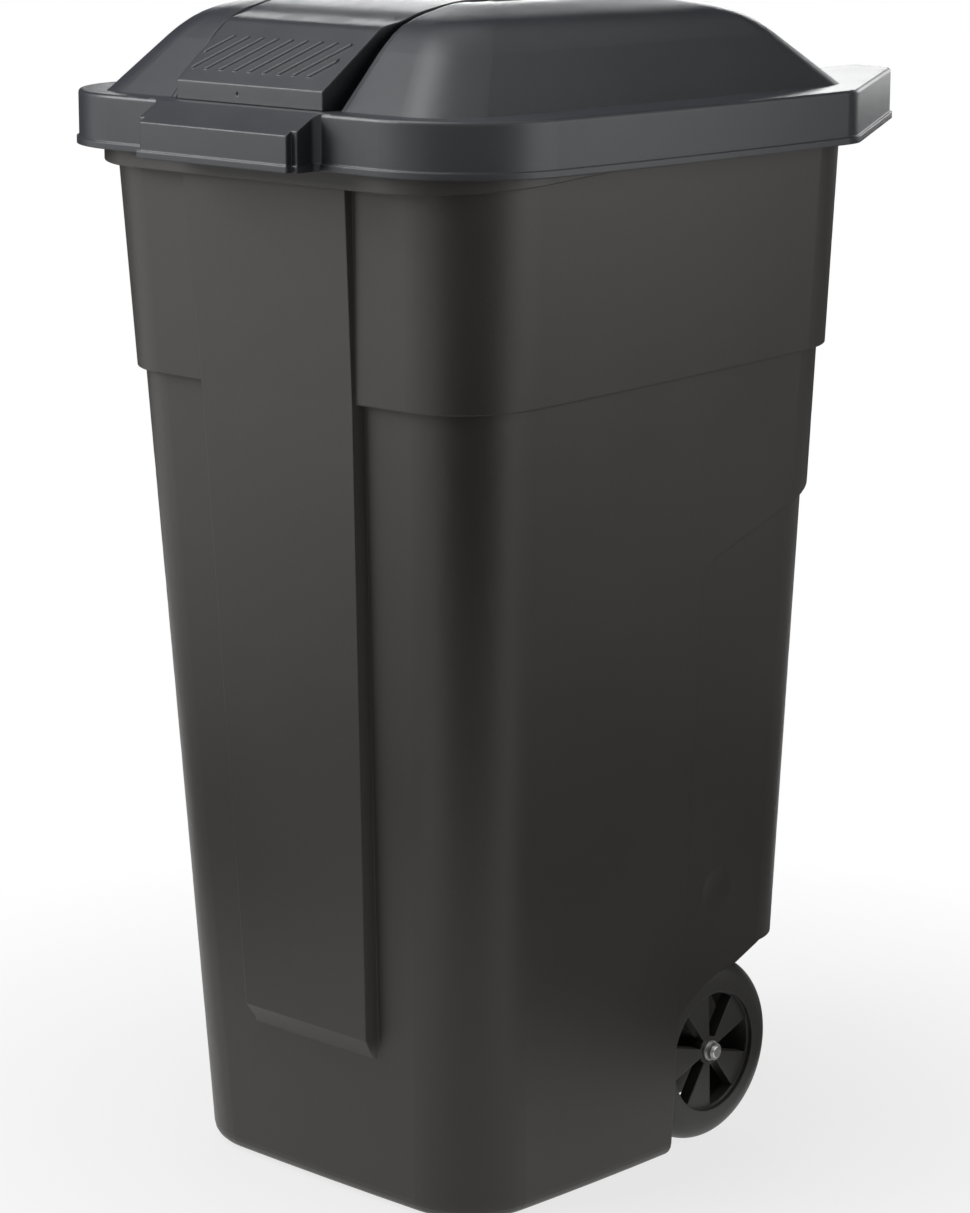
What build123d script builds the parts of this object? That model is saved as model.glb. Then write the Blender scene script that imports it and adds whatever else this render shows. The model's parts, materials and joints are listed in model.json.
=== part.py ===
from build123d import *
import math
import os

os.makedirs("parts", exist_ok=True)

# Frame: millimetres, +X to the right seen from the front, -Y to the front, +Z up,
# origin on the ground under the middle of the overall box.

# ---------------------------------------------------------------- overall sizes
HEIGHT = 880.0
DEPTH = 645.0
FRONT_Y = -DEPTH / 2
REAR_Y = DEPTH / 2
WALL = 3.0

# clearances: seated pieces stand this far apart, running fits have this much play
SEAT_GAP = 0.3
RUN_CLEAR = 0.05

# helpers for cutting shapes: well past the bin, and just past the face being cut
FAR = 400.0
OVER = 1.0
MIN_ROUND = 1.0

# ---------------------------------------------------------------- lid sizes
LID_HALF_WIDTH = 224.0
DOME_RISE = 70.0
LID_TOP_Z = HEIGHT - DOME_RISE
LID_SKIRT = 39.0
LID_LIP_Z = LID_TOP_Z - LID_SKIRT
LIP_HEIGHT = 5.0
LIP_PROUD = 1.8
TAB_REACH = 24.0
LID_FRONT_Y = FRONT_Y + LIP_PROUD + TAB_REACH
LID_SIDE_BOW = 6.0
LID_FRONT_BOW = 2.5
LID_CORNER = 87.0
LID_EDGE_ROUND = 2.5

# shoulders, horns and the notch between them at the rear of the lid
LID_SHOULDER_Y = REAR_Y - 202.0
SHOULDER_ROUND = 46.0
HORN_TIP_HALF = LID_HALF_WIDTH - 120.0
HORN_TIP_SET_BACK = 9.5
HORN_TIP_ROUND = 14.0
HORN_END_ROUND = 3.5
NOTCH_HALF = 63.0
NOTCH_DEPTH = 103.0

# lifting tab: a face with a step back to a wing at each end
TAB_DROP = 14.0
TAB_FACE_HALF = 73.6
TAB_STEP = 5.0
TAB_WING_HALF = 79.0
TAB_ROOT = 12.0
TAB_ROUND = 8.0
TAB_SKIRT_IN = 1.5

# dome on the lid: front run and height of each level, as shares of the rise
DOME_HALF_WIDTH = LID_HALF_WIDTH - 40.0
DOME_FRONT_Y = LID_FRONT_Y + 17.2
DOME_REAR_Y = REAR_Y - 148.0
DOME_SIDE_BOW = 4.0
DOME_END_BOW = 2.0
DOME_CORNER = 42.0
DOME_CORNER_LOSS = 0.13
DOME_SIDE_RUN = 0.69
DOME_REAR_RUN = 1.3
DOME_LEVELS = (
    (0.0, 0.0),
    (38.5, 0.557),
    (46.0, 0.654),
    (54.0, 0.739),
    (64.0, 0.815),
    (78.0, 0.879),
    (96.0, 0.936),
    (118.0, 0.983),
    (140.0, 1.0),
)

# ---------------------------------------------------------------- lid spine sizes
SPINE_HALF = 78.0
SPINE_NOSE_HALF = 73.0
SPINE_SEAM = 1.6
CHANNEL_MOUTH_HALF = 85.0
CHANNEL_NECK_IN = 2.5
CHANNEL_NECK_Y = DOME_FRONT_Y + 47.0
CHANNEL_FULL_Y = DOME_FRONT_Y + 83.0
CHANNEL_DROP = 12.0
CHANNEL_FLOOR_IN = 15.0
EDGE_STRIP = 4.0
EDGE_STRIP_DROP = 1.5
NOSE_Y = LID_FRONT_Y + 11.2
NOSE_TOP_Z = LID_TOP_Z + 13.5
NOSE_FOOT_Z = LID_TOP_Z + SEAT_GAP
BROW_Y = NOSE_Y + 51.0
BROW_Z = LID_TOP_Z + 52.0
CREST_Y = BROW_Y + 22.0
CREST_Z = BROW_Z + 6.0
TAIL_OVER = 2.0
TAIL_RISE = 4.0

# grip ridges, measured up and along the slope of the nose
RIDGE_COUNT = 10
RIDGE_PITCH = 14.7
RIDGE_RADIUS = 1.5
RIDGE_RUN = 29.4
RIDGE_RISE = 35.8
RIDGE_FIRST_U = -83.7
RIDGE_LOW_V = 12.8
RIDGE_LEFT_U = -69.0
RIDGE_RIGHT_U = 63.5
RIDGE_END = 2.0
GATE_X = -11.0
GATE_RADIUS = 1.2
GATE_DEPTH = 0.8

# ---------------------------------------------------------------- tub sizes
TUB_TOP_Z = LID_TOP_Z - WALL - SEAT_GAP
FOOT_HALF_WIDTH = LID_HALF_WIDTH - 66.8
FOOT_FRONT_Y = LID_FRONT_Y + 75.5
FOOT_REAR_Y = REAR_Y - 168.0
SIDE_TAPER = 0.0495
FRONT_TAPER = 0.0545
REAR_TAPER = 0.0115
TUB_CORNER = 60.0
TUB_SIDE_BOW = 5.8
TUB_END_BOW = 2.4
FOOT_ROUND = 12.0
FOOT_STEPS = 5

# upper band, standing proud, and the rim folded out under the lid
BAND_PROUD = 6.0
BAND_EDGE_Z = LID_TOP_Z - 204.0
BAND_EDGE_SLOPE = 0.032
BAND_OVERLAP = 50.0
FLANGE_SIDE_REACH = 5.5
FLANGE_END_REACH = 14.0
FLANGE_LID_GAP = 2.5
FLANGE_CORNER = 85.0
FLANGE_FOOT_Z = LID_TOP_Z - 51.0
FLANGE_FOOT_SLOPE = 0.07

# raised front panel: half width and how far it stands proud, level by level
PANEL_TOP_Z = LID_TOP_Z - 20.0
PANEL_LOW_Z = 131.0
PANEL_BEVEL = 16.0
PANEL_TOP_HALF = 83.0
PANEL_STEP_HALF = 77.0
PANEL_LOW_HALF = 63.5
PANEL_TOP_PROUD = 6.0
PANEL_STEP_PROUD = 2.0
PANEL_LOW_PROUD = 9.5
PANEL_DRAFT = 3.0
PANEL_ROOT = 12.0

# ---------------------------------------------------------------- running gear sizes
WHEEL_RADIUS = 72.6
WHEEL_FACE_X = FOOT_HALF_WIDTH - 1.6
WHEEL_WIDTH = 36.0
WHEEL_FACE_SHOULDER = 18.5
WHEEL_BACK_SHOULDER = 8.0
WHEEL_RING_RADIUS = 47.0
WHEEL_BACK_IN = 2.0
WHEEL_DISH = 4.2
WHEEL_WEB = 10.0
HUB_RADIUS = 9.5
SPOKE_COUNT = 5
SPOKE_ANGLE = 36.0
SPOKE_TURN = 20.0
SPOKE_MARGIN = 1.5
AXLE_Y = FOOT_REAR_Y - 104.5
AXLE_RADIUS = 4.8
AXLE_END_X = WHEEL_FACE_X + 4.0
AXLE_CHAMFER = 0.8
WASHER_RADIUS = 8.0
WASHER_THICK = 1.6
NUT_RADIUS = 6.6
NUT_THICK = 4.0
SPACER_RADIUS = 11.0
SPACER_THICK = 2.0

# space for the wheels: a pocket under the floor, and a thin skirt of side wall over the tread
POCKET_CLEAR = 5.0
POCKET_SKIN = 2.0
SKIRT_THICK = 1.6
BELLY_Z = 2 * WHEEL_RADIUS - 4.2
TAIL_Z = BELLY_Z + 11.0
TAIL_Y = FOOT_REAR_Y - 20.0
TAIL_ROUND = 18.0
TAIL_TURN = math.radians(70.0)
SKIRT_RADIUS = WHEEL_RADIUS + 27.4
SKIRT_CENTRE_Y = AXLE_Y + 27.5
SKIRT_CENTRE_Z = WHEEL_RADIUS - 32.6
SKIRT_MEET_Y = AXLE_Y + 23.0
SKIRT_LEVEL_Y = AXLE_Y + 52.0
SKIRT_LEVEL_Z = BELLY_Z + 10.0

# upright webs under the floor that carry the axle
CHEEK_OUTER_X = FOOT_HALF_WIDTH - 53.2
CHEEK_THICK = 6.0
CHEEK_FOOT_Z = 20.0
CHEEK_TAIL_Y = AXLE_Y + 70.0
CHEEK_ROUND = 18.0

# rear corner recess, and the shallow dish pressed into it over the wheel
RECESS_DEPTH = 4.5
RECESS_FRONT_Y = AXLE_Y - 51.5
RECESS_INNER_X = FOOT_HALF_WIDTH - 47.0
RECESS_TOP_Z = BAND_EDGE_Z - 135.0
RECESS_TOP_Y = RECESS_FRONT_Y + 14.75
RECESS_SLOPE = 0.325
RECESS_ROUND = 28.0
DISH_Y = AXLE_Y - 6.0
DISH_Z = 202.0
DISH_DEPTH = 3.0
DISH_HALF = 21.0

# ---------------------------------------------------------------- hinge and pull handle sizes
HINGE_Y = REAR_Y - 43.0
HINGE_Z = LID_TOP_Z - 20.0
PIN_RADIUS = 5.0
PIN_HEAD_RADIUS = 8.0
PIN_HEAD_THICK = 3.0
PIN_ROOT_X = 40.0
HINGE_BOSS_LENGTH = 15.0
HINGE_BOSS_RADIUS = 11.0
ARM_OUTER_X = NOTCH_HALF - 1.5
ARM_THICK = 12.0
ARM_BOSS = 16.0
ARM_ROOT_LOW_Z = LID_TOP_Z - 122.0
ARM_RIM_REACH = 10.0
ARM_KNEE_Y = HINGE_Y - 46.0
ARM_KNEE_Z = ARM_ROOT_LOW_Z + 26.0
BAR_RADIUS = 12.5


# ================================================================ shared shapes
def bowed_outline(half_width, front, rear, corner, side_bow, end_bow):
    """Rounded rectangle whose four sides swell outwards by the bow."""
    x = half_width - side_bow
    low = front + end_bow
    high = rear - end_bow
    middle = (front + rear) / 2
    edges = [
        ThreePointArc((-x, low), (0, front), (x, low)),
        ThreePointArc((x, low), (half_width, middle), (x, high)),
        ThreePointArc((x, high), (0, rear), (-x, high)),
        ThreePointArc((-x, high), (-half_width, middle), (-x, low)),
    ]
    face = make_face(edges)
    return fillet(face.vertices(), corner)


def quarter_arc(start, end, centre):
    """Quarter circle from start to end about the centre."""
    radius = math.dist(start, centre)
    out_x = start[0] + end[0] - 2 * centre[0]
    out_y = start[1] + end[1] - 2 * centre[1]
    length = math.hypot(out_x, out_y)
    middle = (centre[0] + radius * out_x / length, centre[1] + radius * out_y / length)
    return ThreePointArc(start, middle, end)


def round_corners(face, x, y, radius):
    """Round the outline's corners at x, y and at its mirror image."""
    corners = [v for v in face.vertices() if math.hypot(abs(v.X) - x, v.Y - y) < SEAT_GAP]
    return fillet(corners, radius)


def profile_across(points, half):
    """Side-view polygon of (y, z) points, drawn out to both sides of the middle."""
    return extrude(Plane.YZ * make_face(Polyline(*points, close=True)), half, both=True)


def rod(radius, x0, x1, y, z):
    """Round bar along X."""
    middle = (x0 + x1) / 2
    return Pos(middle, y, z) * Rot(0, 90, 0) * Cylinder(radius, abs(x1 - x0))


def tube(outer, inner, x0, x1, y, z):
    """Ring or sleeve along X."""
    return rod(outer, x0, x1, y, z) - rod(inner, min(x0, x1) - OVER, max(x0, x1) + OVER, y, z)


def both_sides(shape):
    """The shape together with its mirror image on the left."""
    return shape + mirror(shape, Plane.YZ)


# ================================================================ tub
def tub_section(z, inset):
    """Plan outline of the tapering tub at one height, moved in by the inset."""
    half = FOOT_HALF_WIDTH + SIDE_TAPER * z - inset
    front = FOOT_FRONT_Y - FRONT_TAPER * z + inset
    rear = FOOT_REAR_Y + REAR_TAPER * z - inset
    corner = TUB_CORNER - inset
    return Pos(0, 0, z) * bowed_outline(half, front, rear, corner, TUB_SIDE_BOW, TUB_END_BOW)


def lower_form(inset, top, sunk=0.0):
    """Lower tub: rounded foot, then straight tapering sides, all sunk further in."""
    sections = []
    for step in range(FOOT_STEPS):
        angle = math.radians(90.0 * step / FOOT_STEPS)
        z = FOOT_ROUND - FOOT_ROUND * math.cos(angle)
        rounding = FOOT_ROUND - FOOT_ROUND * math.sin(angle)
        sections.append(tub_section(z + inset, rounding + inset + sunk))
    sections.append(tub_section(FOOT_ROUND + inset, inset + sunk))
    sections.append(tub_section(top + inset, inset + sunk))
    return loft(sections, ruled=True)


def recess_region(inset):
    """Block behind the upright recess edge and under its slanting top, both sides."""
    front = RECESS_FRONT_Y - inset
    top = RECESS_TOP_Z + inset + RECESS_SLOPE * (front - RECESS_TOP_Y)
    back = RECESS_TOP_Z + inset + RECESS_SLOPE * (FAR - RECESS_TOP_Y)
    face = make_face(Polyline((front, -FAR), (front, top), (FAR, back), (FAR, -FAR), close=True))
    corner = face.vertices().sort_by(Axis.X)[:2].sort_by(Axis.Y)[-1]
    face = fillet([corner], RECESS_ROUND)
    inner = RECESS_INNER_X - inset
    return both_sides(extrude(Plane.YZ.offset(inner) * face, FAR - inner))


def dish(inset):
    """Ball whose cap presses the shallow dish into both recesses."""
    radius = (DISH_HALF ** 2 + DISH_DEPTH ** 2) / (2 * DISH_DEPTH)
    wall_x = FOOT_HALF_WIDTH + SIDE_TAPER * DISH_Z - RECESS_DEPTH
    ball = Pos(wall_x - DISH_DEPTH + radius, DISH_Y, DISH_Z) * Sphere(radius + inset)
    return both_sides(ball) & recess_region(inset)


def band_form(inset, top):
    """Upper band, standing proud, with a lower edge that rises a little to the rear."""
    ends = [tub_section(z, inset - BAND_PROUD) for z in (BAND_EDGE_Z - BAND_OVERLAP, top)]
    front = FOOT_FRONT_Y - FRONT_TAPER * BAND_EDGE_Z
    low = BAND_EDGE_Z + inset
    line = [
        (-FAR, low + BAND_EDGE_SLOPE * (-FAR - front)),
        (FAR, low + BAND_EDGE_SLOPE * (FAR - front)),
        (FAR, HEIGHT),
        (-FAR, HEIGHT),
    ]
    return loft(ends, ruled=True) & profile_across(line, FAR)


def panel_section(z, half, proud, inset):
    """Plan outline of the raised panel at one height, with drafted sides."""
    front = FOOT_FRONT_Y - FRONT_TAPER * z
    face = front - proud + inset
    inner = front + PANEL_ROOT
    narrow = half - inset
    wide = narrow + PANEL_DRAFT
    points = (
        (-narrow, face),
        (narrow, face),
        (wide, front),
        (wide, inner),
        (-wide, inner),
        (-wide, front),
    )
    return Pos(0, 0, z) * make_face(Polyline(*points, close=True))


def panel_form(inset):
    """Raised front panel, narrowing downwards and ending in a bevel."""
    foot_z = PANEL_LOW_Z - PANEL_BEVEL + inset
    foot = panel_section(foot_z, PANEL_LOW_HALF - PANEL_DRAFT, inset, inset)
    low = panel_section(PANEL_LOW_Z, PANEL_LOW_HALF, PANEL_LOW_PROUD, inset)
    step = panel_section(BAND_EDGE_Z, PANEL_STEP_HALF, PANEL_STEP_PROUD + BAND_PROUD, inset)
    top = panel_section(PANEL_TOP_Z, PANEL_TOP_HALF, PANEL_TOP_PROUD + BAND_PROUD, inset)
    pairs = ((foot, low), (low, step), (step, top))
    bevel, lower, upper = [loft(pair, ruled=True) for pair in pairs]
    return bevel + lower + upper


def tub_form(inset):
    """Whole outer shape of the tub moved in by the inset."""
    joint_z = BAND_EDGE_Z + BAND_OVERLAP
    low = lower_form(inset, joint_z)
    region = recess_region(inset)
    sunk = lower_form(inset, joint_z, RECESS_DEPTH) & region
    low = (low - region) + sunk
    return low + band_form(inset, TUB_TOP_Z + inset) + panel_form(inset)


def pocket_profile(grow):
    """Side-view shape of the wheel pocket, round over the wheel and rounded up at the rear."""
    radius = WHEEL_RADIUS + POCKET_CLEAR + grow
    front = AXLE_Y - radius
    belly = BELLY_Z + grow
    angle = math.asin((belly - WHEEL_RADIUS) / radius)
    meet_y = AXLE_Y + radius * math.cos(angle)
    middle = (math.pi + angle) / 2
    crown = (AXLE_Y + radius * math.cos(middle), WHEEL_RADIUS + radius * math.sin(middle))
    turn_z = TAIL_Z + TAIL_ROUND
    turn_radius = TAIL_ROUND - grow
    turn = [
        (TAIL_Y + turn_radius * math.sin(a), turn_z - turn_radius * math.cos(a))
        for a in (0.0, TAIL_TURN / 2, TAIL_TURN)
    ]
    rise = (turn[2][0] + FAR * math.cos(TAIL_TURN), turn[2][1] + FAR * math.sin(TAIL_TURN))
    edges = [
        Line((front, -FAR), (front, WHEEL_RADIUS)),
        ThreePointArc((front, WHEEL_RADIUS), crown, (meet_y, belly)),
        Line((meet_y, belly), turn[0]),
        ThreePointArc(*turn),
        Line(turn[2], rise),
        Line(rise, (FAR, rise[1])),
        Line((FAR, rise[1]), (FAR, -FAR)),
        Line((FAR, -FAR), (front, -FAR)),
    ]
    return Plane.YZ * make_face(edges)


def skirt_edge():
    """Side-view shape of what is cut away under the skirt of side wall over the wheel."""
    front = RECESS_FRONT_Y - OVER

    def on_arc(y):
        return (y, SKIRT_CENTRE_Z + math.sqrt(SKIRT_RADIUS ** 2 - (y - SKIRT_CENTRE_Y) ** 2))

    start = on_arc(front)
    middle = on_arc((front + SKIRT_MEET_Y) / 2)
    meet = on_arc(SKIRT_MEET_Y)
    below = [meet, (SKIRT_LEVEL_Y, SKIRT_LEVEL_Z), (FAR, SKIRT_LEVEL_Z), (FAR, -FAR), (front, -FAR), start]
    return Plane.YZ * make_face([ThreePointArc(start, middle, meet), Polyline(*below)])


def flange():
    """Rim folded out and down around the mouth of the tub, deepest at the front."""
    half = FOOT_HALF_WIDTH + SIDE_TAPER * TUB_TOP_Z + BAND_PROUD
    front = FOOT_FRONT_Y - FRONT_TAPER * TUB_TOP_Z - BAND_PROUD
    rear = FOOT_REAR_Y + REAR_TAPER * TUB_TOP_Z + BAND_PROUD

    def ring(inset):
        side = FLANGE_SIDE_REACH - inset
        end = FLANGE_END_REACH - inset
        corner = FLANGE_CORNER - inset
        plan = bowed_outline(half + side, front - end, rear + side, corner, TUB_SIDE_BOW, TUB_END_BOW)
        under_lid = lid_outline(-WALL - FLANGE_LID_GAP - inset, NOTCH_HALF, REAR_Y - NOTCH_DEPTH)
        foot_rear = FLANGE_FOOT_Z + FLANGE_FOOT_SLOPE * (FAR - front)
        foot_front = FLANGE_FOOT_Z + FLANGE_FOOT_SLOPE * (-FAR - front)
        low = -OVER if inset > 0 else 0.0
        top = TUB_TOP_Z - inset
        side_view = [(-FAR, foot_front + low), (FAR, foot_rear + low), (FAR, top), (-FAR, top)]
        return extrude(plan, HEIGHT) & extrude(under_lid, HEIGHT) & profile_across(side_view, FAR)

    return ring(0.0) - ring(WALL)


def handle_arm():
    """One side arm of the pull handle, growing out of the rear wall under the rim."""
    root = FOOT_REAR_Y + BAND_PROUD - WALL / 2
    rim_z = FLANGE_FOOT_Z + OVER
    points = (
        (root + REAR_TAPER * ARM_ROOT_LOW_Z, ARM_ROOT_LOW_Z),
        (root + REAR_TAPER * rim_z, rim_z),
        (REAR_Y - NOTCH_DEPTH + ARM_RIM_REACH, rim_z),
        (HINGE_Y - ARM_BOSS * math.sin(math.pi / 4), HINGE_Z + ARM_BOSS * math.cos(math.pi / 4)),
        (HINGE_Y + ARM_BOSS * math.sin(math.pi / 6), HINGE_Z - ARM_BOSS * math.cos(math.pi / 6)),
        (ARM_KNEE_Y, ARM_KNEE_Z),
    )
    plate = make_face(Polyline(*points, close=True)) + Pos(HINGE_Y, HINGE_Z) * Circle(ARM_BOSS)
    return extrude(Plane.YZ.offset(ARM_OUTER_X - ARM_THICK) * plate, ARM_THICK)


def axle_cheek():
    """Upright web under the tub floor that carries the axle."""
    front = AXLE_Y - WHEEL_RADIUS - POCKET_CLEAR - WALL
    high = TAIL_Z + TAIL_ROUND
    corners = ((front, CHEEK_FOOT_Z), (CHEEK_TAIL_Y, CHEEK_FOOT_Z), (CHEEK_TAIL_Y, high), (front, high))
    face = make_face(Polyline(*corners, close=True))
    feet = face.vertices().sort_by(Axis.Y)[:2]
    face = fillet(feet, CHEEK_ROUND)
    web = extrude(Plane.YZ.offset(CHEEK_OUTER_X - CHEEK_THICK) * face, CHEEK_THICK)
    return web & extrude(pocket_profile(WALL / 2), FAR)


def wheel_spaces():
    """What the wheels need cut away: the pocket, kept inside the side walls, and the skirt's edge."""
    pocket = extrude(pocket_profile(0.0), FAR, both=True)
    behind = Pos(0, RECESS_FRONT_Y + FAR, 0) * Box(2 * FAR, 2 * FAR, 4 * FAR)
    open_foot = Box(2 * (FOOT_HALF_WIDTH - FOOT_ROUND - WALL), 2 * FAR, 2 * FOOT_ROUND)
    ahead_skin = lower_form(POCKET_SKIN, BAND_EDGE_Z) + open_foot
    behind_skin = lower_form(SKIRT_THICK, BAND_EDGE_Z, RECESS_DEPTH)
    under_skirt = extrude(skirt_edge(), FAR, both=True) & behind
    return (pocket & ahead_skin) - behind, pocket & behind & behind_skin, under_skirt


def build_tub():
    hollow = tub_form(WALL) - extrude(pocket_profile(WALL), FAR, both=True) - dish(WALL)
    tub = tub_form(0.0) - dish(0.0)
    for space in wheel_spaces():
        tub = tub - space
    tub = tub + flange() - hollow
    tub = tub + both_sides(handle_arm()) + both_sides(axle_cheek())
    tub = tub + rod(BAR_RADIUS, OVER - ARM_OUTER_X, ARM_OUTER_X - OVER, HINGE_Y, HINGE_Z)
    for side in (1, -1):
        tub = tub - rod(PIN_RADIUS, side * PIN_ROOT_X, side * (ARM_OUTER_X + OVER), HINGE_Y, HINGE_Z)
    bore_end = CHEEK_OUTER_X + OVER
    return tub - rod(AXLE_RADIUS, -bore_end, bore_end, AXLE_Y, WHEEL_RADIUS)


# ================================================================ lid
def lid_outline(grow, notch_half, notch_y):
    """Plan outline of the lid: bowed front and sides, shoulders, two rear horns."""
    x = LID_HALF_WIDTH - LID_SIDE_BOW + grow
    low = LID_FRONT_Y + LID_FRONT_BOW - grow
    bow_y = (low + LID_SHOULDER_Y) / 2
    tip_x = HORN_TIP_HALF + grow
    tip_y = REAR_Y - HORN_TIP_SET_BACK + grow / 2
    end_y = REAR_Y + grow
    edges = [
        ThreePointArc((-x, low), (0, LID_FRONT_Y - grow), (x, low)),
        ThreePointArc((x, low), (LID_HALF_WIDTH + grow, bow_y), (x, LID_SHOULDER_Y)),
        ThreePointArc((-x, LID_SHOULDER_Y), (-LID_HALF_WIDTH - grow, bow_y), (-x, low)),
        Line((notch_half, notch_y), (-notch_half, notch_y)),
    ]
    for side in (1, -1):
        edges += [
            Line((side * x, LID_SHOULDER_Y), (side * tip_x, tip_y)),
            Line((side * tip_x, tip_y), (side * notch_half, end_y)),
            Line((side * notch_half, end_y), (side * notch_half, notch_y)),
        ]
    face = make_face(edges)
    face = round_corners(face, x, low, LID_CORNER + grow)
    face = round_corners(face, x, LID_SHOULDER_Y, SHOULDER_ROUND + grow)
    face = round_corners(face, tip_x, tip_y, HORN_TIP_ROUND + grow)
    return round_corners(face, notch_half, end_y, max(HORN_END_ROUND + grow, MIN_ROUND))


def dome_form(inset):
    """Crowned dome: sloping sides through a soft brow to a slightly raised top."""
    sections = []
    for run, share in DOME_LEVELS:
        half = DOME_HALF_WIDTH - run * DOME_SIDE_RUN - inset
        front = DOME_FRONT_Y + run + inset
        rear = DOME_REAR_Y - run * DOME_REAR_RUN - inset
        corner = DOME_CORNER - run * DOME_CORNER_LOSS - inset
        z = LID_TOP_Z + DOME_RISE * share - inset
        plan = bowed_outline(half, front, rear, corner, DOME_SIDE_BOW, DOME_END_BOW)
        if share == 0:
            sections.append(Pos(0, 0, z - WALL) * plan)
        sections.append(Pos(0, 0, z) * plan)
    return loft(sections[:3], ruled=True) + loft(sections[2:])


def crown_line(drop):
    """Side-view line over the middle of the dome, lowered by the drop."""
    rising = [(DOME_FRONT_Y + run, LID_TOP_Z + DOME_RISE * share - drop) for run, share in DOME_LEVELS[1:]]
    falling = [
        (DOME_REAR_Y - run * DOME_REAR_RUN, LID_TOP_Z + DOME_RISE * share - drop)
        for run, share in reversed(DOME_LEVELS[1:])
    ]
    return rising + falling


def channel(grow, drop, widen):
    """Channel down the middle of the dome, sunk by the drop and widened on both sides."""
    floor_z = LID_TOP_Z - OVER - grow
    front = (DOME_FRONT_Y + CHANNEL_FLOOR_IN, floor_z)
    rear = (DOME_REAR_Y - CHANNEL_FLOOR_IN, floor_z)
    if widen > 0:
        front = (DOME_FRONT_Y + drop, LID_TOP_Z - grow)
        rear = (DOME_REAR_Y - drop, LID_TOP_Z - grow)
    points = [(-FAR, front[1]), front] + crown_line(drop + grow) + [rear, (FAR, rear[1])]
    points += [(FAR, HEIGHT + FAR), (-FAR, HEIGHT + FAR)]
    full = SPINE_HALF + SPINE_SEAM + grow + widen
    mouth = CHANNEL_MOUTH_HALF + grow + widen
    neck = mouth - CHANNEL_NECK_IN
    side = [(mouth, -FAR), (neck, CHANNEL_NECK_Y), (full, CHANNEL_FULL_Y), (full, FAR)]
    plan = make_face(Polyline(*side, *[(-x, y) for x, y in reversed(side)], close=True))
    return profile_across(points, FAR) & extrude(plan, HEIGHT + FAR)


def channelled_dome(inset):
    """Dome with the spine's channel and the stepped strip along its edges."""
    dome = dome_form(inset) - channel(inset, CHANNEL_DROP, 0.0)
    return dome - channel(inset, EDGE_STRIP_DROP, EDGE_STRIP)


def tab_plan(inset):
    """Plan outline of the lifting tab with its stepped ends."""
    face_y = LID_FRONT_Y - TAB_REACH + inset
    step_y = face_y + TAB_STEP
    skirt_y = LID_FRONT_Y + TAB_SKIRT_IN
    face_x = TAB_FACE_HALF - inset
    wing_x = TAB_WING_HALF - inset
    side = [
        (face_x, face_y),
        (face_x, step_y),
        (wing_x, step_y),
        (wing_x, skirt_y),
        (wing_x + TAB_ROOT, skirt_y),
        (wing_x + TAB_ROOT, LID_FRONT_Y + TAB_ROOT),
    ]
    plan = make_face(Polyline(*side, *[(-x, y) for x, y in reversed(side)], close=True))
    return round_corners(plan, wing_x, skirt_y, TAB_ROUND)


def tab_form(inset):
    """Lifting tab on the front skirt, sloping down to its face."""
    back = LID_FRONT_Y + TAB_ROOT
    face_y = LID_FRONT_Y - TAB_REACH + inset
    top = LID_TOP_Z - inset
    low = LID_LIP_Z - (OVER if inset > 0 else 0.0)
    side_view = [(back, low), (back, top), (LID_FRONT_Y, top), (face_y, top - TAB_DROP), (face_y, low)]
    return profile_across(side_view, FAR) & extrude(tab_plan(inset), HEIGHT)


def build_lid():
    notch_y = REAR_Y - NOTCH_DEPTH
    plate = Pos(0, 0, LID_LIP_Z) * extrude(lid_outline(0.0, NOTCH_HALF, notch_y), LID_SKIRT)
    plate = fillet(plate.faces().sort_by(Axis.Z)[-1].edges(), LID_EDGE_ROUND)
    rear_trim = Pos(0, REAR_Y + FAR / 2, 0) * Box(2 * FAR, FAR, 2 * FAR)
    lip_plan = lid_outline(LIP_PROUD, NOTCH_HALF, notch_y)
    lip = (extrude(lip_plan, LIP_HEIGHT) - rear_trim) + extrude(tab_plan(-LIP_PROUD), LIP_HEIGHT)
    outer = plate + Pos(0, 0, LID_LIP_Z) * lip + tab_form(0.0) + channelled_dome(0.0)
    hollow_plan = lid_outline(-WALL, NOTCH_HALF + WALL, notch_y - WALL)
    hollow = Pos(0, 0, LID_LIP_Z - OVER) * extrude(hollow_plan, LID_SKIRT + OVER - WALL)
    lid = outer - (hollow + tab_form(WALL) + channelled_dome(WALL))
    for side in (1, -1):
        boss_start = side * (NOTCH_HALF + OVER)
        boss_end = side * (NOTCH_HALF + HINGE_BOSS_LENGTH)
        lid = lid + rod(HINGE_BOSS_RADIUS, boss_start, boss_end, HINGE_Y, HINGE_Z)
        bore_start = side * (NOTCH_HALF - OVER)
        lid = lid - rod(PIN_RADIUS + RUN_CLEAR, bore_start, boss_end + side * OVER, HINGE_Y, HINGE_Z)
    return lid


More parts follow.
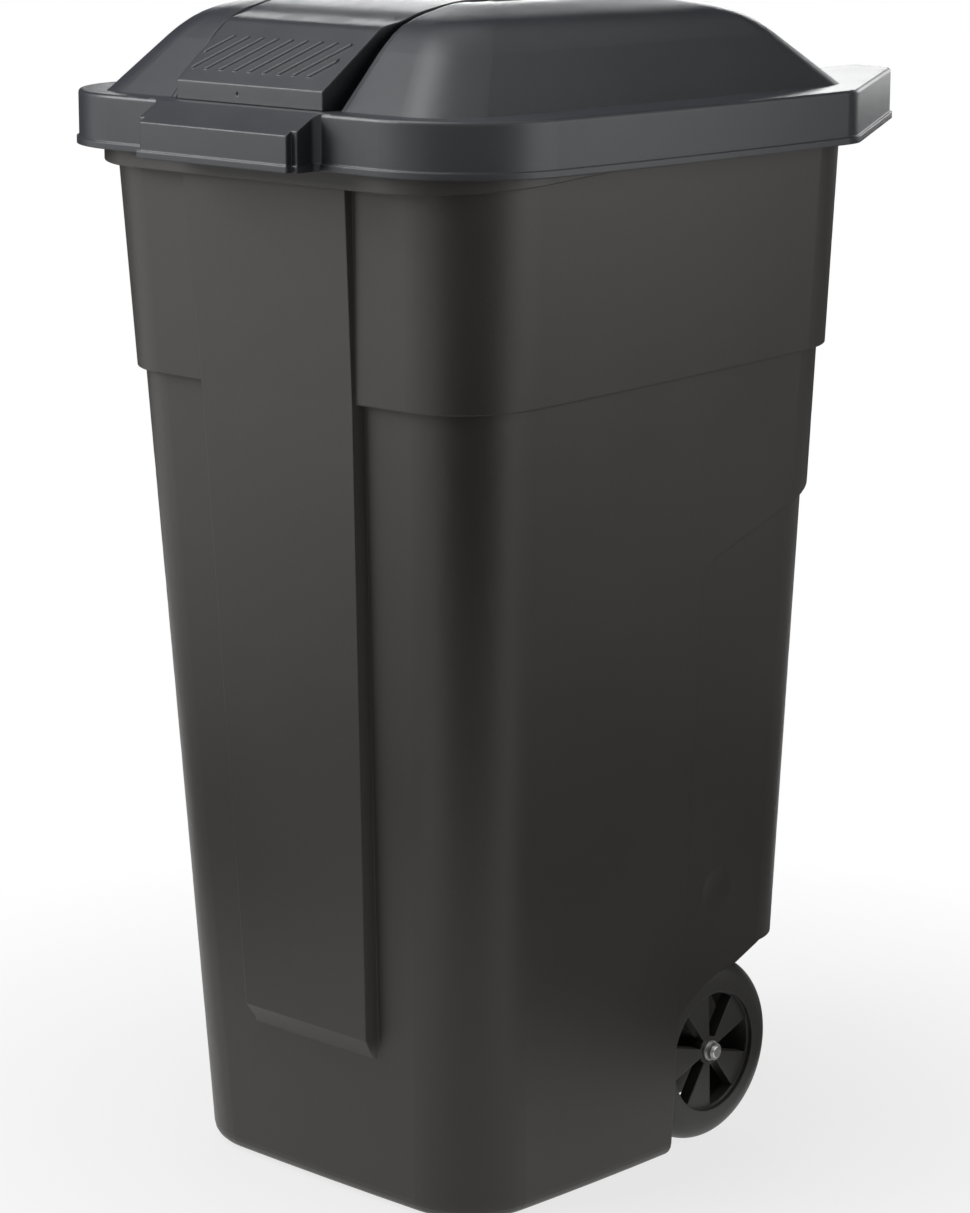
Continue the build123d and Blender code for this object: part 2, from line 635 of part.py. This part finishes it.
# ================================================================ spine
def spine_body(inset):
    """Nose, straight grip slope, soft brow and crown, following the channel below."""
    front = NOSE_Y + inset
    rear = DOME_REAR_Y + TAIL_OVER - inset
    sink = OVER if inset > 0 else 0.0
    foot_z = NOSE_FOOT_Z - sink
    nose_top = (front, NOSE_TOP_Z - inset)
    brow = (BROW_Y, BROW_Z - inset)
    crown = crown_line(inset)
    half = len(crown) // 2
    rising = [brow, (CREST_Y, CREST_Z - inset)]
    rising += [p for p in crown[:half] if p[0] > CREST_Y + SPINE_SEAM]
    falling = crown[half:]
    tail = (rear, LID_TOP_Z + TAIL_RISE)
    rise = (brow[0] - nose_top[0], brow[1] - nose_top[1])
    fall = (tail[0] - falling[-1][0], tail[1] - falling[-1][1])
    level = (1.0, 0.0)
    floor = [(y, z + SEAT_GAP - sink) for y, z in reversed(crown_line(CHANNEL_DROP))]
    below = [tail, (rear, foot_z), (DOME_REAR_Y - CHANNEL_FLOOR_IN, foot_z)] + floor
    below += [(DOME_FRONT_Y + CHANNEL_FLOOR_IN, foot_z), (front, foot_z), nose_top]
    edges = [
        Line(nose_top, brow),
        Spline(*rising, tangents=[rise, level]),
        Line(rising[-1], falling[0]),
        Spline(*falling, tangents=[level, fall]),
        Polyline(falling[-1], *below),
    ]
    side_view = extrude(Plane.YZ * make_face(edges), FAR, both=True)
    return side_view & extrude(spine_plan(inset), HEIGHT + FAR)


def spine_plan(inset):
    """Plan outline of the spine, a little narrower at the nose."""
    nose = SPINE_NOSE_HALF - inset
    full = SPINE_HALF - inset
    side = [(nose, -FAR), (nose, NOSE_Y), (full, CHANNEL_FULL_Y), (full, FAR)]
    return make_face(Polyline(*side, *[(-x, y) for x, y in reversed(side)], close=True))


def grip_ridges():
    """Slanting ridges on the slope of the nose, trimmed to a window."""
    run = BROW_Y - NOSE_Y
    rise = BROW_Z - NOSE_TOP_Z
    slope = math.hypot(run, rise)
    grip = Plane((0, NOSE_Y, NOSE_TOP_Z), x_dir=(1, 0, 0), z_dir=(0, -rise / slope, run / slope))
    middle_u = (RIDGE_LEFT_U + RIDGE_RIGHT_U) / 2
    middle_v = RIDGE_LOW_V + RIDGE_RISE / 2
    width = RIDGE_RIGHT_U - RIDGE_LEFT_U
    window = grip * Pos(middle_u, middle_v, 0) * Box(width, RIDGE_RISE, 4 * RIDGE_RADIUS)
    length = math.hypot(RIDGE_RUN, RIDGE_RISE) + 2 * RIDGE_END
    turn = math.degrees(math.atan2(RIDGE_RISE, RIDGE_RUN))
    ridges = []
    for index in range(RIDGE_COUNT):
        u = RIDGE_FIRST_U + RIDGE_PITCH * index + RIDGE_RUN / 2
        bar = Pos(u, middle_v, 0) * Rot(0, 0, turn) * Rot(0, 90, 0) * Cylinder(RIDGE_RADIUS, length)
        ridges.append(grip * bar & window)
    return ridges


def build_spine():
    spine = spine_body(0.0) - spine_body(WALL)
    for ridge in grip_ridges():
        spine = spine + ridge
    gate_z = (NOSE_TOP_Z + NOSE_FOOT_Z) / 2
    return spine - Pos(GATE_X, NOSE_Y, gate_z) * Rot(90, 0, 0) * Cylinder(GATE_RADIUS, 2 * GATE_DEPTH)


# ================================================================ wheels and axle
def wheel_rim():
    """Tread with a wide outer shoulder, turned about the wheel's own axis."""
    face = WHEEL_FACE_X
    back = face - WHEEL_WIDTH
    outer = WHEEL_RADIUS - WHEEL_FACE_SHOULDER
    inner = WHEEL_RADIUS - WHEEL_BACK_SHOULDER
    face_in = face - WHEEL_FACE_SHOULDER
    back_in = back + WHEEL_BACK_SHOULDER
    edges = [
        Line((WHEEL_RING_RADIUS, back + WHEEL_BACK_IN), (inner, back)),
        quarter_arc((inner, back), (WHEEL_RADIUS, back_in), (inner, back_in)),
        Line((WHEEL_RADIUS, back_in), (WHEEL_RADIUS, face_in)),
        quarter_arc((WHEEL_RADIUS, face_in), (outer, face), (outer, face_in)),
        Line((outer, face), (WHEEL_RING_RADIUS, face)),
        Line((WHEEL_RING_RADIUS, face), (WHEEL_RING_RADIUS, back + WHEEL_BACK_IN)),
    ]
    return revolve(Plane.XZ * make_face(edges), Axis.Z)


def build_wheel(side):
    """One-piece wheel with five wedge spokes, running on the axle."""
    web_face = WHEEL_FACE_X - WHEEL_DISH
    hub_in = CHEEK_OUTER_X + SPACER_THICK + 2 * SEAT_GAP
    web = Pos(0, 0, web_face - WHEEL_WEB / 2) * Cylinder(WHEEL_RING_RADIUS + OVER, WHEEL_WEB)
    half_gap = math.radians((360.0 / SPOKE_COUNT - SPOKE_ANGLE) / 2)
    reach = WHEEL_RING_RADIUS - SPOKE_MARGIN
    tip_x = 2 * reach * math.cos(half_gap)
    tip_y = 2 * reach * math.sin(half_gap)
    wedge = make_face(Polyline((0, 0), (tip_x, tip_y), (tip_x, -tip_y), close=True))
    wedge = wedge & (Circle(reach) - Circle(HUB_RADIUS + SPOKE_MARGIN))
    hole = Pos(0, 0, web_face - WHEEL_WEB - OVER) * extrude(wedge, WHEEL_WEB + 2 * OVER)
    for index in range(SPOKE_COUNT):
        web = web - Rot(0, 0, SPOKE_TURN + 360.0 * index / SPOKE_COUNT) * hole
    hub = Pos(0, 0, (hub_in + web_face) / 2) * Cylinder(HUB_RADIUS, web_face - hub_in)
    wheel = wheel_rim() + web + hub
    wheel = wheel - Pos(0, 0, web_face) * Cylinder(AXLE_RADIUS + RUN_CLEAR, 4 * WHEEL_WIDTH)
    wheel = Pos(0, AXLE_Y, WHEEL_RADIUS) * Rot(0, 90, 0) * wheel
    return wheel if side > 0 else mirror(wheel, Plane.YZ)


def side_stack(side):
    """Spacer, outer washer and push-on nut on one end of the axle."""
    bore = AXLE_RADIUS + RUN_CLEAR
    x = CHEEK_OUTER_X + SEAT_GAP
    spacer = tube(SPACER_RADIUS, bore, side * x, side * (x + SPACER_THICK), AXLE_Y, WHEEL_RADIUS)
    x = WHEEL_FACE_X - WHEEL_DISH + SEAT_GAP
    washer = tube(WASHER_RADIUS, bore, side * x, side * (x + WASHER_THICK), AXLE_Y, WHEEL_RADIUS)
    x = x + WASHER_THICK + SEAT_GAP
    nut = tube(NUT_RADIUS, AXLE_RADIUS, side * x, side * (x + NUT_THICK), AXLE_Y, WHEEL_RADIUS)
    return spacer, washer, nut


def build_axle():
    axle = rod(AXLE_RADIUS, -AXLE_END_X, AXLE_END_X, AXLE_Y, WHEEL_RADIUS)
    ends = axle.faces().filter_by(GeomType.PLANE).edges()
    return chamfer(ends, AXLE_CHAMFER)


def build_pin(side):
    """Headed pin pressed into the handle arm, carrying the lid's hinge boss."""
    head = side * (NOTCH_HALF + HINGE_BOSS_LENGTH + SEAT_GAP)
    pin = rod(PIN_RADIUS, side * (PIN_ROOT_X + SEAT_GAP), head, HINGE_Y, HINGE_Z)
    return pin + rod(PIN_HEAD_RADIUS, head, head + side * PIN_HEAD_THICK, HINGE_Y, HINGE_Z)


pieces = {
    "body_tub": build_tub(),
    "lid_shell": build_lid(),
    "lid_spine": build_spine(),
    "axle": build_axle(),
}
for name, side in (("right", 1), ("left", -1)):
    spacer, washer, nut = side_stack(side)
    pieces["wheel_" + name] = build_wheel(side)
    pieces["spacer_" + name] = spacer
    pieces["washer_" + name] = washer
    pieces["push_nut_" + name] = nut
    pieces["hinge_pin_" + name] = build_pin(side)

for name, shape in pieces.items():
    print(name, len(shape.solids()), shape.bounding_box())
    export_step(shape, "parts/" + name + ".step")
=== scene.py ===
import json
import math

import bpy
from mathutils import Matrix, Vector


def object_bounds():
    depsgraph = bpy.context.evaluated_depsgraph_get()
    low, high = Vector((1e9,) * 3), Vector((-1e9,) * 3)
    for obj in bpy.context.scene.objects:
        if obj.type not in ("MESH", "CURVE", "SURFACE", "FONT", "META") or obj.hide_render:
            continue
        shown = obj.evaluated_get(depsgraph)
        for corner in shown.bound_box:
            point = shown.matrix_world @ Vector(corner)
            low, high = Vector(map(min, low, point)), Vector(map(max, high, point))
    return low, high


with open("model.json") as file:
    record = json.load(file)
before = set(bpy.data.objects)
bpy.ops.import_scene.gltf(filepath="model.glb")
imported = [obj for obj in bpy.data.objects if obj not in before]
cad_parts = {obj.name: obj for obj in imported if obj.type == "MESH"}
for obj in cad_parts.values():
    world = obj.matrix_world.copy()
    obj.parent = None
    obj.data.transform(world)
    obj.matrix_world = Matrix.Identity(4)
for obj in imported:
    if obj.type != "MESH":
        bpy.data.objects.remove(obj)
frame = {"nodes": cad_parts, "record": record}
cad_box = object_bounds()

# The bin as the frame gives it, in metres: +X right, -Y front, +Z up.
LOW = Vector(cad_box[0])
HIGH = Vector(cad_box[1])
HEIGHT = HIGH.z - LOW.z
MIDDLE = (LOW + HIGH) / 2

# ---------------------------------------------------------------- camera
# Angles in degrees, distances in metres, lens and sensor in millimetres.
CAMERA_AZIMUTH = 43.0
CAMERA_PITCH = 12.6
CAMERA_ROLL = 0.19
CAMERA_DISTANCE = 2.817
CAMERA_LENS = 137.2
SENSOR_WIDTH = 36.0
# The camera aims this far ahead of the bin's middle, at this share of its height.
AIM_FORWARD = 0.0437
AIM_HEIGHT_SHARE = 0.4722

# ---------------------------------------------------------------- studio
WHITE = (1.0, 1.0, 1.0, 1.0)
FLOOR_RADIUS = 40.0
FLOOR_SIDES = 96
FLOOR_COLOUR = (0.5, 0.5, 0.5, 1.0)
FLOOR_ROUGHNESS = 0.9
# Distances from the bin's axis between which the floor's glow grows, and its share at each.
POOL_REACH = (0.2, 0.75)
POOL_GLOW = (0.76, 1.0)
FILL_COLOUR = (0.95, 0.97, 1.0, 1.0)
FILL_STRENGTH = 0.05
LAMP_SPREAD = 120.0
FLAG_COLOUR = (0.004, 0.004, 0.004, 1.0)
FLAG_ROUGHNESS = 1.0
FLAG_SPECULAR = 0.0
# A lying card is this far above the floor.
FLAG_LIFT = 0.001
# Turn that points a lying card's top away from the bin when its azimuth is 0.
OUTWARD = 180.0

# ---------------------------------------------------------------- noises
# Scales are in waves per metre. Each range is where an effect grows from none to full.
NONE_TO_FULL = (0.0, 1.0)
CLOUD_NOISE = dict(scale=5.0, detail=3.0)
CLOUD_RANGE = (0.3, 0.7)
SPECK_NOISE = dict(scale=420.0, detail=1.0)
SPECK_RANGE = (0.62, 0.8)
DUST_NOISE = dict(scale=28.0, detail=4.0, roughness=0.6)
DUST_RANGE = (0.4, 0.75)
SCRATCH_NOISE = dict(scale=60.0, detail=6.0, roughness=0.7)
SCRATCH_RANGE = (0.55, 0.75)
RIPPLE_NOISE = dict(scale=38.0, detail=2.0)
GRAIN_DETAIL = dict(detail=2.0, roughness=0.6)
SPANGLE_NOISE = dict(scale=700.0, detail=2.0)
SPANGLE_RANGE = (0.35, 0.65)
GRIME_NOISE = dict(scale=160.0, detail=5.0, roughness=0.65)
GRIME_RANGE = (0.58, 0.75)

# ---------------------------------------------------------------- plastic
# Shades are multiples of the base colour, shares run from 0 to 1.
CLOUD_DARK = 0.9
CLOUD_PALE = 1.1
SPECK_SHADE = 1.5
SPECK_SHARE = 0.35
DUST_SHADE = 1.9
DUST_SHARES = (0.1, 0.4)
# Upward parts of the unit normal between which dust begins and is full.
DUST_TILT = (0.5, 1.0)
ROUGHNESS_RANGE = (0.2, 0.8)
ROUGHNESS_SWING = 0.04
PLASTIC_SPECULAR = 0.5
RIPPLE_WEIGHT = 1.5
PLASTIC_BUMP_DEPTH = 0.0002
EDGE_SOFTNESS = 0.0016
EDGE_SAMPLES = 6
PLASTICS = {
    "tub_plastic": dict(
        colour=(0.031, 0.0275, 0.0235), roughness=0.42, grain=0.5, grain_size=0.0009, scuff=0.05,
    ),
    "lid_plastic": dict(
        colour=(0.024, 0.026, 0.031), roughness=0.36, grain=0.4, grain_size=0.0007, scuff=0.05,
    ),
    "wheel_plastic": dict(
        colour=(0.040, 0.038, 0.036), roughness=0.45, grain=0.3, grain_size=0.0008, scuff=0.08,
    ),
}

# ---------------------------------------------------------------- steel
ZINC_DARK = (0.50, 0.51, 0.50, 1.0)
ZINC_PALE = (0.66, 0.67, 0.65, 1.0)
GRIME_COLOUR = (0.16, 0.14, 0.12, 1.0)
GRIME_SHARE = 0.7
ZINC_DULL_RANGE = (0.3, 0.75)
ZINC_ROUGHNESS = (0.28, 0.55)
ZINC_METALLIC = 1.0
ZINC_BUMP = 0.3
ZINC_BUMP_DEPTH = 0.0001

# Sockets of a Mix node in colour mode. Their names also belong to its other modes.
MIX_FACTOR = 0
MIX_FIRST = 6
MIX_SECOND = 7
MIX_RESULT = 2


def new_material(name):
    """Material that has only an output and a Principled shader."""
    material = bpy.data.materials.new(name)
    material.use_nodes = True
    tree = material.node_tree
    tree.nodes.clear()
    output = tree.nodes.new("ShaderNodeOutputMaterial")
    shader = tree.nodes.new("ShaderNodeBsdfPrincipled")
    tree.links.new(shader.outputs["BSDF"], output.inputs["Surface"])
    return material, tree, shader


def object_place(tree):
    """Position on the object in its own metres."""
    return tree.nodes.new("ShaderNodeTexCoord").outputs["Object"]


def noise(tree, place, scale, detail, roughness=0.5):
    """Noise from 0 to 1 at a position."""
    node = tree.nodes.new("ShaderNodeTexNoise")
    node.inputs["Scale"].default_value = scale
    node.inputs["Detail"].default_value = detail
    node.inputs["Roughness"].default_value = roughness
    tree.links.new(place, node.inputs["Vector"])
    return node.outputs["Fac"]


def spread(tree, value, source, target):
    """Value moved from the source range to the target range, held inside it."""
    node = tree.nodes.new("ShaderNodeMapRange")
    for socket, limit in zip(("From Min", "From Max", "To Min", "To Max"), source + target):
        node.inputs[socket].default_value = limit
    tree.links.new(value, node.inputs["Value"])
    return node.outputs["Result"]


def math_node(tree, operation, first, second):
    """Result of one sum on two values, each a number or a socket."""
    node = tree.nodes.new("ShaderNodeMath")
    node.operation = operation
    for socket, value in zip(node.inputs, (first, second)):
        if isinstance(value, float):
            socket.default_value = value
        else:
            tree.links.new(value, socket)
    return node.outputs["Value"]


def mix_colour(tree, share, first, second):
    """Mix of two colours, each a tuple or a socket: share 0 gives the first, 1 the second."""
    node = tree.nodes.new("ShaderNodeMix")
    node.data_type = "RGBA"
    tree.links.new(share, node.inputs[MIX_FACTOR])
    for index, value in ((MIX_FIRST, first), (MIX_SECOND, second)):
        if isinstance(value, tuple):
            node.inputs[index].default_value = value
        else:
            tree.links.new(value, node.inputs[index])
    return node.outputs[MIX_RESULT]


def shade(colour, factor):
    """Opaque colour, made darker or paler by a factor."""
    return tuple(channel * factor for channel in colour) + (1.0,)


def part_of(tree, vector, axis):
    """One part of a vector: X, Y or Z."""
    node = tree.nodes.new("ShaderNodeSeparateXYZ")
    tree.links.new(vector, node.inputs["Vector"])
    return node.outputs[axis]


def bump_node(tree, height, strength, depth):
    """Bump node that raises the surface by a height."""
    node = tree.nodes.new("ShaderNodeBump")
    node.inputs["Strength"].default_value = strength
    node.inputs["Distance"].default_value = depth
    tree.links.new(height, node.inputs["Height"])
    return node


def plastic_colour(tree, place, clouds, colour):
    """Base colour with faint flow clouds, pale specks, and dust on what faces up."""
    cloud_share = spread(tree, clouds, CLOUD_RANGE, NONE_TO_FULL)
    base = mix_colour(tree, cloud_share, shade(colour, CLOUD_DARK), shade(colour, CLOUD_PALE))
    specks = spread(tree, noise(tree, place, **SPECK_NOISE), SPECK_RANGE, (0.0, SPECK_SHARE))
    base = mix_colour(tree, specks, base, shade(colour, SPECK_SHADE))
    normal = tree.nodes.new("ShaderNodeNewGeometry").outputs["Normal"]
    facing_up = spread(tree, part_of(tree, normal, "Z"), DUST_TILT, NONE_TO_FULL)
    patches = spread(tree, noise(tree, place, **DUST_NOISE), DUST_RANGE, DUST_SHARES)
    dust = math_node(tree, "MULTIPLY", facing_up, patches)
    return mix_colour(tree, dust, base, shade(colour, DUST_SHADE))


def plastic_roughness(tree, place, clouds, roughness, scuff):
    """Roughness that follows the clouds, with dull scuffs on top."""
    swing = (roughness - ROUGHNESS_SWING, roughness + ROUGHNESS_SWING)
    even = spread(tree, clouds, ROUGHNESS_RANGE, swing)
    scuffs = spread(tree, noise(tree, place, **SCRATCH_NOISE), SCRATCH_RANGE, (0.0, scuff))
    return math_node(tree, "ADD", even, scuffs)


def plastic_normal(tree, place, grain, grain_size):
    """Normal with moulded grain, slow ripples, and edges that catch light softly."""
    fine = noise(tree, place, scale=1.0 / grain_size, **GRAIN_DETAIL)
    slow = math_node(tree, "MULTIPLY", noise(tree, place, **RIPPLE_NOISE), RIPPLE_WEIGHT)
    bump = bump_node(tree, math_node(tree, "ADD", fine, slow), grain, PLASTIC_BUMP_DEPTH)
    soft_edge = tree.nodes.new("ShaderNodeBevel")
    soft_edge.samples = EDGE_SAMPLES
    soft_edge.inputs["Radius"].default_value = EDGE_SOFTNESS
    tree.links.new(soft_edge.outputs["Normal"], bump.inputs["Normal"])
    return bump.outputs["Normal"]


def moulded_plastic(name, colour, roughness, grain, grain_size, scuff):
    """Moulded polyethylene: fine grain, faint flow clouds, dull scuffs and a little dust."""
    material, tree, shader = new_material(name)
    place = object_place(tree)
    clouds = noise(tree, place, **CLOUD_NOISE)
    looks = {
        "Base Color": plastic_colour(tree, place, clouds, colour),
        "Roughness": plastic_roughness(tree, place, clouds, roughness, scuff),
        "Normal": plastic_normal(tree, place, grain, grain_size),
    }
    for socket, look in looks.items():
        tree.links.new(look, shader.inputs[socket])
    shader.inputs["Specular IOR Level"].default_value = PLASTIC_SPECULAR
    return material


def zinc_steel(name):
    """Bright zinc plate on steel: fine spangle, dull spots and a little grime."""
    material, tree, shader = new_material(name)
    place = object_place(tree)
    spangle = noise(tree, place, **SPANGLE_NOISE)
    grime = noise(tree, place, **GRIME_NOISE)
    base = mix_colour(tree, spread(tree, spangle, SPANGLE_RANGE, NONE_TO_FULL), ZINC_DARK, ZINC_PALE)
    base = mix_colour(tree, spread(tree, grime, GRIME_RANGE, (0.0, GRIME_SHARE)), base, GRIME_COLOUR)
    dull = spread(tree, grime, ZINC_DULL_RANGE, ZINC_ROUGHNESS)
    bump = bump_node(tree, spangle, ZINC_BUMP, ZINC_BUMP_DEPTH)
    tree.links.new(base, shader.inputs["Base Color"])
    tree.links.new(dull, shader.inputs["Roughness"])
    tree.links.new(bump.outputs["Normal"], shader.inputs["Normal"])
    shader.inputs["Metallic"].default_value = ZINC_METALLIC
    return material


def dress_nodes():
    """Every CAD node takes the material of its slot in the record."""
    materials = {name: moulded_plastic(name, **values) for name, values in PLASTICS.items()}
    materials["steel"] = zinc_steel("steel")
    for row in frame["record"]["subparts"]:
        node = frame["nodes"][row["node"]]
        node.data.materials.clear()
        node.data.materials.append(materials[row["material_slot"]])


def only_seen(tree):
    """1 for rays of the camera, reflections and clear matter, 0 for light on the object."""
    paths = tree.nodes.new("ShaderNodeLightPath").outputs
    seen = math_node(tree, "MAXIMUM", paths["Is Camera Ray"], paths["Is Glossy Ray"])
    return math_node(tree, "MAXIMUM", seen, paths["Is Transmission Ray"])


def show_blend(tree, share, first, second):
    """Sends a mix of two shaders to the output: share 0 gives the first, 1 the second."""
    output = next(node for node in tree.nodes if node.type.startswith("OUTPUT"))
    blend = tree.nodes.new("ShaderNodeMixShader")
    for socket, source in zip(blend.inputs, (share, first, second)):
        tree.links.new(source, socket)
    tree.links.new(blend.outputs["Shader"], output.inputs["Surface"])


def add_floor():
    """Grey floor with the bin's shadow. Its white glow is only seen and lights nothing."""
    bpy.ops.mesh.primitive_circle_add(
        vertices=FLOOR_SIDES, radius=FLOOR_RADIUS, fill_type="NGON", location=(0, 0, LOW.z),
    )
    floor = bpy.context.object
    floor.name = "floor"
    material, tree, shader = new_material("floor_paper")
    shader.inputs["Base Color"].default_value = FLOOR_COLOUR
    shader.inputs["Roughness"].default_value = FLOOR_ROUGHNESS
    glow = tree.nodes.new("ShaderNodeEmission")
    glow.inputs["Color"].default_value = WHITE
    reach = tree.nodes.new("ShaderNodeVectorMath")
    reach.operation = "LENGTH"
    tree.links.new(object_place(tree), reach.inputs[0])
    away = spread(tree, reach.outputs["Value"], POOL_REACH, POOL_GLOW)
    share = math_node(tree, "MULTIPLY", only_seen(tree), away)
    show_blend(tree, share, shader.outputs["BSDF"], glow.outputs["Emission"])
    floor.data.materials.append(material)


def add_world():
    """White to the eye and to reflections, a dim cool fill for the rest."""
    world = bpy.data.worlds.new("studio")
    bpy.context.scene.world = world
    world.use_nodes = True
    tree = world.node_tree
    tree.nodes.clear()
    tree.nodes.new("ShaderNodeOutputWorld")
    fill = tree.nodes.new("ShaderNodeBackground")
    fill.inputs["Color"].default_value = FILL_COLOUR
    fill.inputs["Strength"].default_value = FILL_STRENGTH
    backdrop = tree.nodes.new("ShaderNodeBackground")
    backdrop.inputs["Color"].default_value = WHITE
    show_blend(tree, only_seen(tree), fill.outputs["Background"], backdrop.outputs["Background"])


def aimed(thing, place, target):
    """Puts a lamp or a card at a place, facing a target."""
    thing.location = place
    thing.rotation_euler = (target - place).to_track_quat("-Z", "Y").to_euler()


def around(azimuth, distance, z):
    """Point at a distance from the bin's axis: azimuth 0 is in front, 90 to the right."""
    angle = math.radians(azimuth)
    return Vector((MIDDLE.x + distance * math.sin(angle), MIDDLE.y - distance * math.cos(angle), z))


def add_softbox(name, azimuth, distance, z, aim_z, width, height, power):
    """Rectangular soft light that faces the bin's axis at the height aim_z."""
    data = bpy.data.lights.new(name, "AREA")
    data.shape = "RECTANGLE"
    data.size = width
    data.size_y = height
    data.energy = power
    data.spread = math.radians(LAMP_SPREAD)
    lamp = bpy.data.objects.new(name, data)
    bpy.context.collection.objects.link(lamp)
    lamp.visible_camera = False
    aimed(lamp, around(azimuth, distance, z), around(azimuth, 0.0, aim_z))


def flag_cloth(name, fade):
    """Black cloth that turns clear over the last share of a card's height."""
    material, tree, shader = new_material(name)
    shader.inputs["Base Color"].default_value = FLAG_COLOUR
    shader.inputs["Roughness"].default_value = FLAG_ROUGHNESS
    shader.inputs["Specular IOR Level"].default_value = FLAG_SPECULAR
    place = tree.nodes.new("ShaderNodeTexCoord").outputs["Generated"]
    share = spread(tree, part_of(tree, place, "Y"), (1.0 - fade, 1.0), NONE_TO_FULL)
    clear = tree.nodes.new("ShaderNodeBsdfTransparent")
    show_blend(tree, share, shader.outputs["BSDF"], clear.outputs["BSDF"])
    return material


def add_flag(name, azimuth, distance, width, height, fade, lying=False):
    """Black card that only reflections see, standing or lying on the floor.

    The card fades out softly over a share of its height, towards its top or its far edge.
    """
    bpy.ops.mesh.primitive_plane_add(size=1.0)
    flag = bpy.context.object
    flag.name = name
    flag.scale = (width, height, 1.0)
    if lying:
        flag.location = around(azimuth, distance, LOW.z + FLAG_LIFT)
        flag.rotation_euler = (0.0, 0.0, math.radians(azimuth + OUTWARD))
    else:
        middle_z = LOW.z + height / 2
        aimed(flag, around(azimuth, distance, middle_z), around(azimuth, 0.0, middle_z))
    flag.visible_camera = False
    flag.visible_diffuse = False
    flag.visible_shadow = False
    flag.data.materials.append(flag_cloth(name + "_cloth", fade))


def add_camera():
    """Long-lens camera that looks at the bin's front right corner from a little above."""
    data = bpy.data.cameras.new("camera")
    data.lens = CAMERA_LENS
    data.sensor_width = SENSOR_WIDTH
    data.sensor_fit = "HORIZONTAL"
    camera = bpy.data.objects.new("camera", data)
    bpy.context.collection.objects.link(camera)
    azimuth = math.radians(CAMERA_AZIMUTH)
    pitch = math.radians(CAMERA_PITCH)
    level = math.cos(pitch)
    way = Vector((math.sin(azimuth) * level, -math.cos(azimuth) * level, math.sin(pitch)))
    aim = Vector((MIDDLE.x, MIDDLE.y - AIM_FORWARD, LOW.z + AIM_HEIGHT_SHARE * HEIGHT))
    camera.location = aim + way * CAMERA_DISTANCE
    roll = Matrix.Rotation(math.radians(CAMERA_ROLL), 3, "Z")
    turn = (-way).to_track_quat("-Z", "Y").to_matrix() @ roll
    camera.rotation_euler = turn.to_euler()
    bpy.context.scene.camera = camera


dress_nodes()
add_floor()
add_world()
# Lamps and cards: azimuth in degrees, lengths in metres, power in watts, fade as a share.
add_softbox("left_box", azimuth=-37, distance=1.3, z=1.28, aim_z=0.85, width=0.8, height=0.66, power=7.8)
add_softbox("right_box", azimuth=116, distance=1.5, z=0.92, aim_z=0.75, width=1.35, height=1.1, power=5.2)
add_softbox("rear_box", azimuth=188, distance=1.6, z=0.95, aim_z=0.8, width=0.7, height=0.5, power=1.6)
add_softbox("top_box", azimuth=-24, distance=0.85, z=2.1, aim_z=0.8, width=1.0, height=1.0, power=6.8)
add_softbox("back_box", azimuth=221, distance=1.6, z=1.25, aim_z=0.9, width=1.0, height=0.35, power=3.4)
add_flag("camera_flag", azimuth=CAMERA_AZIMUTH, distance=1.0, width=1.2, height=0.75, fade=0.2)
add_flag("front_flag", azimuth=-43, distance=0.7, width=1.0, height=0.4, fade=1.0)
add_flag("side_flag", azimuth=137, distance=0.62, width=1.2, height=0.75, fade=1.0)
add_flag("side_card", azimuth=137, distance=0.52, width=1.0, height=0.5, fade=0.8, lying=True)
add_flag("right_flag", azimuth=140, distance=2.0, width=3.0, height=2.4, fade=0.1)
add_flag("back_flag", azimuth=223, distance=1.8, width=6.0, height=3.6, fade=0.1)
add_camera()
bpy.context.scene.view_settings.view_transform = "Standard"
